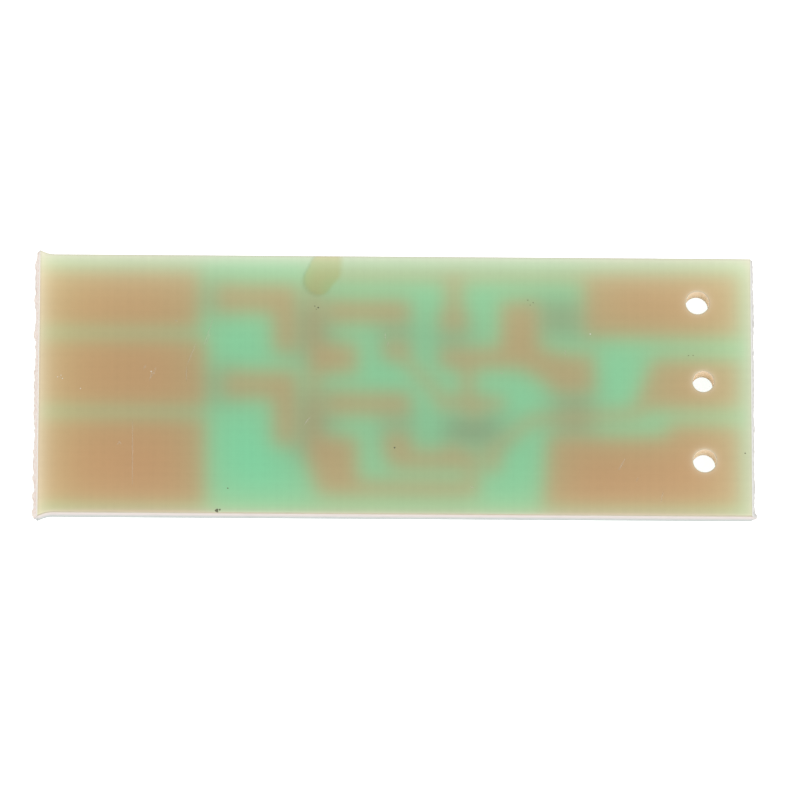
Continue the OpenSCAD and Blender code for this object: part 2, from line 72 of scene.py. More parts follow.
def surface(name, solid, materials, nodes=(), attributes=None):
    """Makes a piece from a solid: an (n, 3) array of points, then one or more (m, k) arrays
    of faces. Each of those takes its own material, or all share one."""
    points, *face_sets = solid
    if len(materials) == 1:
        materials = materials * len(face_sets)
    sizes = np.concatenate([np.full(len(f), f.shape[1]) for f in face_sets])
    corners = np.concatenate([f.ravel() for f in face_sets])
    finish = np.concatenate([np.full(len(f), i) for i, f in enumerate(face_sets)])
    mesh = bpy.data.meshes.new(name)
    mesh.vertices.add(len(points))
    mesh.vertices.foreach_set("co", (points * MM).astype(np.float32).ravel())
    mesh.loops.add(len(corners))
    mesh.loops.foreach_set("vertex_index", corners.astype(np.int32))
    mesh.polygons.add(len(sizes))
    mesh.polygons.foreach_set("loop_start", (np.cumsum(sizes) - sizes).astype(np.int32))
    mesh.update(calc_edges=True)
    mesh.polygons.foreach_set("material_index", finish.astype(np.int32))
    mesh.polygons.foreach_set("use_smooth", np.ones(len(sizes), bool))
    for key, values in (attributes or {}).items():
        layer = mesh.attributes.new(key, "FLOAT", "POINT")
        layer.data.foreach_set("value", np.asarray(values, np.float32))
    for material in materials:
        mesh.materials.append(material)
    mesh.validate()
    piece = bpy.data.objects.new(name, mesh)
    bpy.context.scene.collection.objects.link(piece)
    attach(piece, "root")
    if nodes:
        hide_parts(*nodes)
    print(f"{name}: {len(points)} points, {len(sizes)} faces")
    return piece


# %% [markdown]
# ## Reading sizes off the frame
#
# The pieces sit exactly on the solids, so their sizes are read from the frame and not
# typed again. A node can hold several solids, such as the fourteen solder pads of the
# chips. Corners that coincide get one number, and the smallest spreads over each solid.

# %% Boxes of the nodes and of the solids in them
def corners_of(node):
    """All corners of a node in millimetres, and its triangles as index triples."""
    mesh = frame["nodes"][node].data
    mesh.calc_loop_triangles()
    points = np.empty(len(mesh.vertices) * 3, np.float32)
    mesh.vertices.foreach_get("co", points)
    triangles = np.empty(len(mesh.loop_triangles) * 3, np.int32)
    mesh.loop_triangles.foreach_get("vertices", triangles)
    return points.reshape(-1, 3) / MM, triangles.reshape(-1, 3)


def solids_of(node):
    """Lowest and highest corner of each separate solid: label(corner) becomes the least
    label of its triangles, until nothing changes."""
    points, triangles = corners_of(node)
    points, number = np.unique(np.round(points, 3), axis=0, return_inverse=True)
    triangles = number.ravel()[triangles]
    label = np.arange(len(points))
    while True:
        spread = label.copy()
        np.minimum.at(spread, triangles.ravel(), np.repeat(label[triangles].min(1), 3))
        spread = spread[spread]
        if (spread == label).all():
            break
        label = spread
    return [(points[label == k].min(0), points[label == k].max(0)) for k in np.unique(label)]


def box_of(node):
    """Lowest and highest corner of a node, in millimetres."""
    low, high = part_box(node)
    return np.array(low) / MM, np.array(high) / MM


board_low, board_high = box_of("laminate")
UNDER, FACE = board_low[2], board_high[2]
FOIL = box_of("supply_foil")[0][2]
foil_nodes = sorted(n for n in frame["nodes"] if "foil" in n or n.startswith("led_land"))
wire_holes = [
    (np.array(m["pos_m"][:2]) / MM, m["dims"]["r_mm"])
    for m in frame["record"]["mounts"] if m["kind"] == "bore"
]
print(f"laminate from z {UNDER:.3f} to {FACE:.3f} mm, {len(foil_nodes)} foil pieces")

# %% [markdown]
# ## What glows through the laminate
#
# Light goes into the milky laminate, meets green lacquer, copper, a dark moulding or a chip
# below, and comes back blurred. Where the parts block the light that comes up from the floor,
# the face is painted in their shade. True scattering is slow and grainy and is lost when a
# model is exported. Instead the solids below are drawn on a fine map, the map is blurred, and
# each point of the bare face looks up its value. A wire hole and its rim count as copper.

# %% Draw the solids on a map
STEP = 0.05
MAP_LOW = np.array([-17.2, -6.6])
MAP_SHAPE = (688, 264)
HOLE_RIM = 0.2
cell_x, cell_y = (MAP_LOW[i] + (np.arange(MAP_SHAPE[i]) + 0.5) * STEP for i in (0, 1))
cell_x, cell_y = cell_x[:, None], cell_y[None, :]


def footprint(nodes):
    """1 where a node covers a map cell, and 0 elsewhere: a cell lies in a triangle when it is
    on the inner side of all three edges."""
    shade = np.zeros(MAP_SHAPE)
    for node in nodes:
        points, triangles = corners_of(node)
        for tri in points[triangles][:, :, :2]:
            (ax, ay), (bx, by), (cx, cy) = tri
            if (bx - ax) * (cy - ay) - (by - ay) * (cx - ax) < 1e-6:
                continue
            i0, j0 = np.floor((tri.min(0) - MAP_LOW) / STEP).astype(int)
            i1, j1 = np.ceil((tri.max(0) - MAP_LOW) / STEP).astype(int) + 1
            x, y = cell_x[i0:i1], cell_y[:, j0:j1]
            inside = [(qx - px) * (y - py) - (qy - py) * (x - px) >= 0
                      for (px, py), (qx, qy) in zip(tri, np.roll(tri, -1, axis=0))]
            shade[i0:i1, j0:j1][np.all(inside, axis=0)] = 1
    return shade


def blurred(shade, spread):
    """Gaussian blur: each axis is convolved with exp(-d^2 / 2 spread^2), in millimetres."""
    reach = int(3 * spread / STEP)
    bell = np.exp(-0.5 * (np.arange(-reach, reach + 1) * STEP / spread) ** 2)
    bell /= bell.sum()
    wide = np.pad(shade, reach, mode="edge")
    wide = sum(w * wide[k:k + MAP_SHAPE[0]] for k, w in enumerate(bell))
    return sum(w * wide[:, k:k + MAP_SHAPE[1]] for k, w in enumerate(bell))


def look_up(shade, x, y):
    """Value of a map at points x, y: the four nearest cells, weighted by nearness."""
    u = np.clip((x - MAP_LOW[0]) / STEP - 0.5, 0, MAP_SHAPE[0] - 1.001)
    v = np.clip((y - MAP_LOW[1]) / STEP - 0.5, 0, MAP_SHAPE[1] - 1.001)
    i, j = u.astype(int), v.astype(int)
    u, v = u - i, v - j
    return ((shade[i, j] * (1 - u) + shade[i + 1, j] * u) * (1 - v)
            + (shade[i, j + 1] * (1 - u) + shade[i + 1, j + 1] * u) * v)


copper_map = footprint(foil_nodes + ["tinned_lands"])
for (hx, hy), r in wire_holes:
    copper_map[(cell_x - hx) ** 2 + (cell_y - hy) ** 2 < (r + HOLE_RIM) ** 2] = 1
moulding_map = footprint([n for n in frame["nodes"] if n.endswith("_body")])
chip_map = footprint([n for n in frame["nodes"] if n.endswith("_core")])
print(f"copper covers {copper_map.sum() * STEP ** 2:.0f} square millimetres")

# %% [markdown]
# ## Flat nets, holes and walls
#
# The laminate and the lacquer are plates with round holes. A plate starts as a net of
# square cells. Round each hole a square patch is taken out, and rings of points slide from
# the square to the circle. A Boolean modifier would leave slivers that shade badly.

# %% Quads from numbered points
FLIP = [0, 3, 2, 1]


def net_quads(index):
    """Quads of a flat net whose points are numbered row by row."""
    return np.stack([index[:-1, :-1], index[1:, :-1], index[1:, 1:], index[:-1, 1:]],
                    -1).reshape(-1, 4)


def tube_quads(index):
    """Quads between rings of points. The last axis of index runs round a closed ring, and
    the axis before it counts the rings. Column order FLIP turns the quads over."""
    onward = np.roll(index, -1, axis=-1)
    return np.stack([index[..., :-1, :], onward[..., :-1, :], onward[..., 1:, :],
                     index[..., 1:, :]], -1).reshape(-1, 4)


def numbered(points):
    """Numbers the points of an array (..., 3) in the order of its rows."""
    return np.arange(points.size // 3).reshape(points.shape[:-1])


def tubes(points):
    """A solid of many tubes, from an array (tube, ring, corner, 3). Both ends are closed."""
    index = numbered(points)
    ends = np.concatenate([index[:, -1], index[:, 0, ::-1]])
    return points.reshape(-1, 3), tube_quads(index), ends


def joined(solids):
    """One solid from several: their points in one array, and so each set of faces."""
    starts = np.cumsum([0] + [len(s[0]) for s in solids])
    points, *face_sets = zip(*solids)
    return [np.concatenate(points)] + [
        np.concatenate([faces + a for faces, a in zip(sets, starts)]) for sets in face_sets]


# %% A net with round holes
RINGS = 7


def net_with_holes(xs, ys, keep, holes, reach):
    """Points (n, 2) and quads (m, 4) of a plate, where keep says which cells it has. The
    rings of a hole lie at (1 - t) edge + t (centre + r direction)."""
    points = np.stack(np.meshgrid(xs, ys, indexing="ij"), -1).reshape(-1, 2)
    total = len(points)
    index = np.arange(total).reshape(len(xs), len(ys))
    quads, extra = [], []
    t = (np.arange(1, RINGS + 1) / RINGS)[:, None, None]
    for centre, r in holes:
        i0, i1 = np.searchsorted(xs, [centre[0] - reach, centre[0] + reach])
        j0, j1 = np.searchsorted(ys, [centre[1] - reach, centre[1] + reach])
        keep[i0:i1, j0:j1] = False
        loop = np.concatenate([index[i0:i1, j0], index[i1, j0:j1],
                               index[i1:i0:-1, j1], index[i0, j1:j0:-1]])
        edge = points[loop]
        away = edge - centre
        circle = centre + r * away / np.linalg.norm(away, axis=1)[:, None]
        extra.append(((1 - t) * edge + t * circle).reshape(-1, 2))
        ring = total + np.arange(RINGS * len(loop)).reshape(RINGS, -1)
        quads.append(tube_quads(np.vstack([loop, ring])))
        total += RINGS * len(loop)
    quads = np.concatenate([net_quads(index)[keep.ravel()]] + quads)
    used, quads = np.unique(quads, return_inverse=True)
    return np.concatenate([points] + extra)[used], quads.reshape(-1, 4)


def open_edges(quads):
    """Directed edges with a face on their left and none on their right."""
    start, end = quads.ravel(), np.roll(quads, -1, axis=1).ravel()
    size = quads.max() + 1
    alone = ~np.isin(start * size + end, end * size + start)
    return start[alone], end[alone]


def closed_plate(points, quads, high, low, levels=(), bulge=None):
    """Closed solid over a net, between z = high and z = low: all its points, and the quads
    of the upper face, the lower face and the walls. bulge(points, t) gives the points of
    the wall at share t of the way down, for each t in levels."""
    n = len(points)
    rim, place = np.unique(np.stack(open_edges(quads)), return_inverse=True)
    start, end = place.reshape(2, -1)
    layers = [np.column_stack([bulge(points[rim], t), high[rim] + (low[rim] - high[rim]) * t])
              for t in levels]
    between = 2 * n + np.arange(len(layers) * len(rim)).reshape(-1, len(rim))
    rows = [rim, *between, n + rim]
    walls = np.concatenate([
        np.stack([upper[end], upper[start], lower[start], lower[end]], -1)
        for upper, lower in zip(rows[:-1], rows[1:])
    ])
    faces = [np.column_stack([points, high]), np.column_stack([points, low])]
    return np.concatenate(faces + layers), quads, quads[:, ::-1] + n, walls

# %% [markdown]
# ## Helpers for finishes
#
# Each finish is a small tree of nodes. Its patterns read Object coordinates, in metres, so
# a scale of 2000 gives features of about half a millimetre.

# %% Node helpers
def shade_of(r, g, b):
    """Screen colour, 0 to 255 a channel, as the linear colour that a shader takes."""
    c = np.array([r, g, b]) / 255
    return (*np.where(c <= 0.04045, c / 12.92, ((c + 0.055) / 1.055) ** 2.4), 1)


def add_node(tree, kind, *values, **named):
    """Adds a node. A name in lower case is a setting, a name with a capital is an input, and
    values without a name fill the inputs in order. Another node's output is linked."""
    node = tree.nodes.new("ShaderNode" + kind)
    for name, value in named.items():
        if name.islower():
            setattr(node, name, value)
    inputs = [(node.inputs[name.replace("_", " ")], value)
              for name, value in named.items() if not name.islower()]
    for socket, value in [*zip(node.inputs, values), *inputs]:
        if isinstance(value, bpy.types.NodeSocket):
            tree.links.new(value, socket)
        else:
            socket.default_value = value
    return node


class Finish:
    """A material, with short ways to add the nodes that the finishes below share."""

    def __init__(self, name, roughness, **inputs):
        """inputs are further inputs of the shader, with _ for a space."""
        self.material = bpy.data.materials.new(name)
        self.material.use_nodes = True
        self.tree = self.material.node_tree
        self.shader = self.tree.nodes["Principled BSDF"]
        for key, value in {"Roughness": roughness, "IOR": 1.5, **inputs}.items():
            self.shader.inputs[key.replace("_", " ")].default_value = value
        self.place = self.add("TexCoord").outputs["Object"]

    def add(self, kind, *values, **named):
        return add_node(self.tree, kind, *values, **named)

    def math(self, operation, a, b):
        return self.add("Math", a, b, operation=operation).outputs[0]

    def times(self, a, b):
        return self.math("MULTIPLY", a, b)

    def mix(self, share, a, b, blend="MIX"):
        node = self.add("Mix", data_type="RGBA", blend_type=blend, clamp_result=True,
                        Factor=share, A=a, B=b)
        return node.outputs["Result"]

    def ramp(self, value, low, high):
        """0 below low, 1 above high, and straight in between."""
        return self.add("MapRange", Value=value, From_Min=low, From_Max=high).outputs["Result"]

    def noise(self, size, stretch=(1, 1, 1), detail=3.0):
        """Cloudy values, with features about size millimetres across, times stretch."""
        scaled = self.add("Mapping", Scale=[1 / (size * MM * s) for s in stretch],
                          Vector=self.place)
        return self.add("TexNoise", Scale=1, Detail=detail, Roughness=0.55,
                        Vector=scaled.outputs["Vector"]).outputs["Fac"]

    def threads(self, pitch, direction):
        """Bands pitch millimetres apart, a little wavy, as the yarns of a glass cloth."""
        return self.add("TexWave", bands_direction=direction, Scale=0.314 / (pitch * MM),
                        Distortion=0.8, Detail_Scale=2, Vector=self.place).outputs["Fac"]

    def height(self):
        """Height over the floor in millimetres."""
        return self.times(self.add("SeparateXYZ", self.place).outputs["Z"], 1 / MM)

    def attribute(self, name):
        return self.add("Attribute", attribute_name=name).outputs["Fac"]

    def colour(self, value):
        self.tree.links.new(value, self.shader.inputs["Base Color"])

    def bump(self, height, strength, depth):
        """Relief from a value between 0 and 1, depth millimetres deep."""
        node = self.add("Bump", Strength=strength, Distance=depth * MM, Height=height)
        self.tree.links.new(node.outputs["Normal"], self.shader.inputs["Normal"])


def plain_finish(name, dark, light, size, roughness, relief=0.01, strength=0.5, fine=3,
                 stretch=(1, 1, 1), detail=3.0, span=(0.3, 0.7), **inputs):
    """A finish that wanders between two screen colours, with a relief of the same grain,
    fine times smaller. inputs go to the shader."""
    finish = Finish(name, roughness, **inputs)
    share = finish.ramp(finish.noise(size, stretch, detail), *span)
    finish.colour(finish.mix(share, shade_of(*dark), shade_of(*light)))
    finish.bump(finish.noise(size / fine, stretch, detail), strength, relief)
    return finish.material

# %% [markdown]
# ## The laminate
#
# The strip was snapped out of a larger panel. Its long sides are cut straight, and its two
# ends were scored from both faces and then broken: a bevel above, a bevel below, and
# between them a torn web of glass fibres, whose tufts are modelled and not painted. At the
# led end the corners flare out a little.

# %% Sizes of the strip
END = 16.7  # where the face ends, from the middle
FLARE, FLARE_RUN = 0.2, 0.7  # how far a corner flares out, and over what length
SIDE = (board_high[1] - board_low[1]) / 2 - FLARE
THICK = FACE - UNDER
SCORE, SCORE_RUN = 0.35, 0.1  # depth and slant of a score
SINK = 0.004  # room over the face for scratches and specks
CHAMFER = 0.02
print(f"strip {2 * END:.1f} x {2 * SIDE:.1f} x {THICK:.2f} mm")

# %% The torn web
SOFT_LIMIT = 0.2
CLEAR = 0.002
BURR_WIDTH = 0.13
TUFT = {-1: 0.1, 1: 0.055}
BURRS = {-1: [(5.8, 0.09), (4.15, 0.14), (2.45, 0.22), (-3.2, 0.1), (-4.45, 0.12),
              (-5.35, 0.18), (-6.1, 0.1), (0.6, 0.06)],
         1: [(-6.1, 0.12), (3.1, 0.04), (-1.9, 0.04)]}


def tufts(y, step, seed):
    """Uneven heights between 0 and 1 along the end: random values every step millimetres,
    joined by straight lines."""
    knots = np.arange(-7, 7.01, step)
    return np.interp(y, knots, np.random.default_rng(seed).random(len(knots)))


def torn_reach(side, y, depth):
    """How far the end stands out past the face, at y along it and depth below the face. In
    the scores it rises to SCORE_RUN. Between them tufts and burrs are added, times
    1 - |2 (depth - middle) / web|^3. Past SOFT_LIMIT it bends over, to stay below the real
    length: SOFT_LIMIT + room tanh((reach - SOFT_LIMIT) / room)."""
    bevel = SCORE_RUN * np.clip(np.minimum(depth, THICK - depth) / SCORE, 0, 1)
    width = THICK - 2 * SCORE
    drift = 0.05 * (tufts(y, 0.5, 31 + side) - 0.5)
    share = np.clip(1 - np.abs(2 * (depth - THICK / 2 - drift) / width) ** 3, 0, 1)
    coarse, fine = tufts(y, 0.7, 40 + side), tufts(y, 0.12, 50 + side)
    fibre = TUFT[side] * (0.3 + 0.8 * coarse + 0.7 * fine)
    fibre = fibre * (0.7 + 0.6 * tufts(y + 37 * depth % 5, 0.12, 60 + side))
    for at, height in BURRS[side]:
        fibre = fibre + height * np.exp(-((y - at) / BURR_WIDTH) ** 2)
    reach = bevel + share * fibre
    room = board_high[0] - END - CLEAR - SOFT_LIMIT
    return np.where(reach < SOFT_LIMIT, reach,
                    SOFT_LIMIT + room * np.tanh((reach - SOFT_LIMIT) / room))

# %% The strip as one closed piece
CELLS = (280, 104)
HOLE_PATCH = 0.98  # half the square that is netted anew round a hole
MOUTH = 0.03  # how much wider a hole is at the face
DEPTHS = np.array([0.02, 0.12, 0.24, 0.35, 0.38, 0.43, 0.48, 0.53, 0.58, 0.63, 0.68, 0.73,
                   0.78, 0.82, 0.85, 0.96, 1.08, 1.18])


def widened(x, y):
    """The flared corners: y is stretched near the led end by FLARE (1 - run)^2."""
    run = np.clip((x + END) / FLARE_RUN, 0, 1)
    return y * (1 + FLARE * (1 - run) ** 2 / SIDE)


def broken_or_cut(points, t):
    """Moves the walls out: torn at the two ends, straight with a tiny chamfer along the
    sides and in the drilled holes."""
    depth = THICK * t
    moved = points.copy()
    for side in (-1, 1):
        end = np.abs(points[:, 0] - side * END) < 1e-6
        moved[end, 0] += side * torn_reach(side, points[end, 1], depth)
    long_side = np.abs(points[:, 1]) > SIDE - 2 * CHAMFER
    moved[long_side, 1] += np.sign(points[long_side, 1]) * CHAMFER
    for centre, r in wire_holes:
        away = points - centre
        distance = np.linalg.norm(away, axis=1)
        bore = distance < r + 0.1
        moved[bore] = centre + away[bore] / distance[bore, None] * r
    return moved


xs = np.linspace(-END, END, CELLS[0] + 1)
ys = np.linspace(-SIDE + CHAMFER, SIDE - CHAMFER, CELLS[1] + 1)
mouths = [(c, r + MOUTH) for c, r in wire_holes]
flat, quads = net_with_holes(xs, ys, np.ones(CELLS, bool), mouths, HOLE_PATCH)
flat[:, 1] = widened(flat[:, 0], flat[:, 1])
n = len(flat)
board_points, face_quads, back_quads, wall_quads = closed_plate(
    flat, quads, np.full(n, FACE - SINK), np.full(n, UNDER), DEPTHS / THICK, broken_or_cut)
wall_corners = board_points[wall_quads]
middle = wall_corners.mean(1)
torn = np.abs(wall_corners[:, :, 0]).min(axis=1) > END - 0.001
drilled = np.min([np.hypot(*(middle[:, :2] - c).T) / r for c, r in wire_holes], axis=0) < 1.2
drilled &= middle[:, 2] < FACE - 0.015
print(f"{torn.sum()} faces on the torn ends, {drilled.sum()} in the holes")

# %% [markdown]
# ## What each point of the strip knows
#
# Each point keeps what it sees as attributes: copper, mouldings and chips below, the glow
# that comes in through each edge, and the old stain. Copper is the sum of a near blur and
# a wide one, because part of the light scatters once and part of it many times. The slant
# of the view through the laminate moves the picture a fifth of a millimetre.

# %% Attributes of the strip
SLANT = 0.19
NEAR, WIDE, WIDE_SHARE = 0.4, 1.2, 0.483
PART_BLUR = 0.7
STAIN = (-3.34, 5.43)
bx, by = board_points[:, 0], board_points[:, 1]
soft = {
    "copper_below": ((1 - WIDE_SHARE) * blurred(copper_map, NEAR)
                     + WIDE_SHARE * blurred(copper_map, WIDE)),
    "moulding_below": blurred(moulding_map, PART_BLUR),
    "chip_below": blurred(chip_map, PART_BLUR),
}
knows = {name: look_up(shade, bx, by + SLANT) for name, shade in soft.items()}

# Each glow: distance from its edge, reach in millimetres, and the light that it adds
glows = {
    "supply_edge": (SIDE - by, 0.49, (0.350, 0.070, 0.225, 1)),
    "ground_edge": (SIDE + by, 0.14, (0.150, 0.0, 0.100, 1)),
    "led_edge": (END + bx, 0.40, (0.340, 0.100, 0.175, 1)),
    "wire_edge": (END - bx, 0.45, (0.250, 0.0, 0.120, 1)),
    "supply_side": (SIDE - by, 1.45, (0.213, 0.140, 0.068, 1)),
    "ground_side": (SIDE + by, 0.95, (0.258, 0.0, 0.003, 1)),
    "led_side": (END + bx, 1.82, (0.171, 0.109, 0.039, 1)),
    "wire_side": (END - bx, 2.64, (0.204, 0.141, 0.077, 1)),
}
for name, (inward, reach, light) in glows.items():
    knows[name] = np.exp(-np.clip(inward, 0, None) / reach)
# At the corners two glows meet, and the light doesn't add up in full
for end in ("led", "wire"):
    for name in (end + "_edge", end + "_side"):
        knows[name] *= 1 - 0.6 * knows["supply_edge"]
    knows["ground_side"] *= 1 - 0.5 * knows[end + "_side"]
    knows["ground_edge"] *= 1 - knows[end + "_edge"]
to_hole = np.min([np.hypot(bx - c[0], by - c[1]) - r for c, r in wire_holes], axis=0)
knows["near_hole"] = np.exp(-np.clip(to_hole, 0, None) / 0.12)

# The stain is a tilted drop: d = 1 on its rim, sharp and dark at the lower left
stain_x, stain_y = bx - STAIN[0], by - STAIN[1]
stain_d = np.hypot((0.55 * stain_x + 0.83 * stain_y) / 1.25,
                   (0.83 * stain_x - 0.55 * stain_y) / 0.8)
stain_d += 0.04 * np.sin(5 * np.arctan2(stain_y, stain_x))
knows["stain"] = np.clip((1.03 - stain_d) / (0.12 + 0.3 * np.clip(stain_x, 0, 1)), 0, 1)
knows["stain_rim"] = np.exp(-((stain_d - 1) / 0.07) ** 2) * np.clip(0.4 - stain_x, 0, 1)
print({name: f"{values.min():.2f} to {values.max():.2f}" for name, values in knows.items()})

# %% [markdown]
# ## Finish of the bare face
#
# First green over lacquer, tan over copper, and browner over the parts below. This is partly
# the black mouldings themselves, and partly painted shade where the parts block the light that
# comes up through the board. Then come the painted glow of the edges and the stain, and on top
# the yarns of the glass cloth, long faint streaks, and a satin gloss.

# %% Bare laminate
bare = Finish("bare_laminate", 0.42)
GREEN = shade_of(117, 211, 160)
TAN = shade_of(187, 146, 101)
over = bare.mix(bare.attribute("copper_below"), GREEN, TAN)
shy = bare.math("SUBTRACT", 1.0, bare.times(bare.attribute("copper_below"), 0.86))
# Over the parts the face turns browner. This is partly the black mouldings, and partly painted
# shade where the parts block light coming up from the floor.
for below, cast in (("moulding_below", (1.0, 0.32, 0.35, 1)),
                    ("chip_below", (1.06, 0.48, 0.5, 1))):
    over = bare.mix(bare.times(bare.attribute(below), shy), over, cast, "MULTIPLY")
for name, (inward, reach, light) in glows.items():
    over = bare.mix(bare.attribute(name), over, light, "ADD")
for name, cast in (("stain", (0.98, 0.87, 0.72, 1)), ("stain_rim", (0.86, 0.88, 0.86, 1))):
    over = bare.mix(bare.attribute(name), over, cast, "MULTIPLY")
over = bare.mix(bare.times(bare.attribute("near_hole"), 0.5), over, shade_of(232, 214, 184))
yarn = bare.times(bare.threads(0.52, "Y"), bare.threads(0.58, "X"))
streak = bare.math("ADD", bare.noise(0.1, (24, 1, 1), detail=4),
                   bare.noise(0.1, (1, 24, 1), detail=4))
weave = bare.math("ADD", bare.times(yarn, 0.2), bare.times(streak, 0.5))
cloud = bare.ramp(bare.noise(2.2, (1.6, 1, 1), detail=2), 0.35, 0.7)
for share, cast in ((bare.times(bare.ramp(weave, 0.35, 0.85), 0.32), (0.86, 0.86, 0.86, 1)),
                    (bare.times(cloud, 0.3), (0.93, 0.94, 0.93, 1))):
    over = bare.mix(share, over, cast, "MULTIPLY")
bare.colour(over)
bare.bump(weave, 0.25, 0.004)
print("bare laminate:", len(bare.tree.nodes), "nodes")

# %% [markdown]
# ## Finish of the broken and cut walls
#
# Torn glass fibre is nearly white, with a pink cast from the resin, and stripy because the
# yarns of the cloth end there. The flank of the scored groove is the whitest. On the cut
# sides the plies show as faint lines, and the wall turns from a tan rim below the face,
# through pale pink, to grey at the lacquer. The grey foot is painted shade, as the light comes
# in through the face and the lacquer shades the foot. Light soaks through the resin, so the
# wall of a hole shines in peach.

# %% Walls
def torn_finish(name, dark, light, groove, shine):
    """Stripy fibre between two colours, with its own colour on the flank of the groove.
    shine is the light that comes out of the fibre from inside the board."""
    finish = Finish(name, 0.8, Emission_Color=shade_of(255, 223, 160), Emission_Strength=shine)
    yarns = finish.ramp(finish.noise(0.16, (1, 1, 2.2)), 0.3, 0.7)
    body = finish.mix(yarns, shade_of(*dark), shade_of(*light))
    flank = finish.ramp(finish.height(), FACE - 0.6 * SCORE, FACE - 0.3 * SCORE)
    finish.colour(finish.mix(flank, body, shade_of(*groove)))
    finish.bump(finish.noise(0.05, (1, 1, 2.2)), 0.5, 0.05)
    return finish.material


torn_fibre = torn_finish("torn_fibre", (242, 226, 220), (252, 246, 242), (255, 253, 250), 0.1)
grey_fibre = torn_finish("grey_fibre", (214, 212, 207), (242, 240, 236), (244, 244, 238), 0.0)

cut = Finish("cut_side", 0.6)
grain = cut.noise(0.1, (9, 9, 1), detail=4)
# Painted shade: the wall is grey towards the lacquer at its foot and pale pink higher up.
upper = cut.ramp(cut.height(), UNDER + 0.25, UNDER + 0.75)
body = cut.mix(upper, shade_of(208, 213, 211), shade_of(243, 231, 226))
rim = cut.ramp(cut.height(), FACE - 0.28, FACE - 0.08)
body = cut.mix(rim, body, shade_of(208, 198, 170))
plies = cut.times(cut.threads(0.17, "Z"), 0.35)
body = cut.mix(plies, body, (0.9, 0.91, 0.9, 1), "MULTIPLY")
body = cut.mix(cut.ramp(grain, 0.45, 0.75), body, (0.87, 0.87, 0.86, 1), "MULTIPLY")
cut.colour(body)
cut.bump(grain, 0.4, 0.01)

bore_wall = plain_finish("bore_wall", (242, 226, 204), (252, 240, 224), 0.15, 0.6,
                         strength=0.3, fine=1, stretch=(1, 1, 0.4),
                         Emission_Color=shade_of(255, 206, 110), Emission_Strength=0.09)
bare_back = plain_finish("bare_back", (206, 212, 176), (222, 226, 194), 0.5, 0.45,
                         relief=0.004, stretch=(3, 1, 1))
led_end = middle[:, 0] < 0
surface("laminate_strip",
        [board_points, face_quads, back_quads, wall_quads[torn & led_end],
         wall_quads[torn & ~led_end], wall_quads[drilled], wall_quads[~torn & ~drilled]],
        [bare.material, bare_back, torn_fibre, grey_fibre, bore_wall, cut.material],
        ["laminate"], attributes=knows)

# %% [markdown]
# ## Fibres at the torn ends
#
# Seen close, the broken web bristles with single glass fibres. Each is a triangle carried
# along a bent line. All of them are one array, because three hundred objects draw slowly.

# %% Loose fibres
def bristles(side, count, seed):
    """A solid of count tapered fibres: centre(s) = root + length (s out + s^2 droop),
    radius(s) = 0.011 (1 - 0.8 s), and three corners round each centre."""
    rng = np.random.default_rng(seed)
    y = rng.uniform(-SIDE - 0.1, SIDE + 0.1, count)
    depth = rng.uniform(SCORE + 0.04, THICK - SCORE - 0.04, count)
    reach = np.array([torn_reach(side, np.array([a]), b)[0] for a, b in zip(y, depth)])
    length = np.minimum(rng.uniform(0.05, 0.15, count), board_high[0] - END - reach + 0.02)
    root = np.column_stack([side * (END + reach - 0.03), np.clip(y, -SIDE, SIDE), FACE - depth])
    out = np.column_stack([np.full(count, float(side)), rng.normal(0, 0.5, count),
                           rng.normal(0, 0.3, count)])
    droop = np.column_stack([np.zeros(count), rng.normal(0, 0.3, count),
                             rng.normal(0, 0.3, count)])
    s = np.linspace(0, 1, 4)[None, :, None]
    line = root[:, None] + length[:, None, None] * (s * out[:, None] + s ** 2 * droop[:, None])
    turn = np.radians([90, 210, 330])
    ring = np.column_stack([np.zeros(3), np.cos(turn), np.sin(turn)])
    points = line[:, :, None] + 0.011 * (1 - 0.8 * s[..., None]) * ring
    points[..., 0] = np.clip(points[..., 0], board_low[0], board_high[0])
    points, *faces = tubes(points)
    return points, *(faces if side > 0 else [f[:, ::-1] for f in faces])


glass_fibre = plain_finish("glass_fibre", (232, 214, 204), (250, 244, 238), 0.1, 0.5)
surface("loose_fibres", joined([bristles(-1, 240, 5), bristles(1, 90, 6)]), [glass_fibre])

# %% [markdown]
# ## Scratches and specks
#
# A used board has light scratches, a few dark specks and some flecks of dust. A scratch is
# a shallow ridge with a lens-shaped outline, and a speck is a flat dome. They rise less
# than the face was sunk, so they stay inside the real thickness.

# %% Scratches
def ridges(lines, width):
    """One closed ridge a line: along it s runs 0 to 1, half width = width sin(pi s)^0.5 / 2,
    and the crest lies in the middle."""
    lines = np.array(lines, float)
    start, run = lines[:, :2], lines[:, 2:] - lines[:, :2]
    across = np.stack([-run[:, 1], run[:, 0]], -1) / np.linalg.norm(run, axis=1)[:, None]
    s = np.linspace(0.02, 0.98, 9)
    centre = start[:, None] + s[:, None] * run[:, None]
    half = (width / 2 * np.sin(np.pi * s) ** 0.5)[:, None] * across[:, None]
    rows = np.empty((len(lines), len(s), 3, 3))
    rows[..., :2] = centre[:, :, None] + np.array([-1, 0, 1])[:, None] * half[:, :, None]
    rows[..., 2] = [FACE - SINK - 0.001, FACE - 0.001, FACE - SINK - 0.001]
    index = numbered(rows)
    ends = np.concatenate([index[:, 0], index[:, -1, ::-1]])
    return rows.reshape(-1, 3), tube_quads(index)[:, FLIP], ends


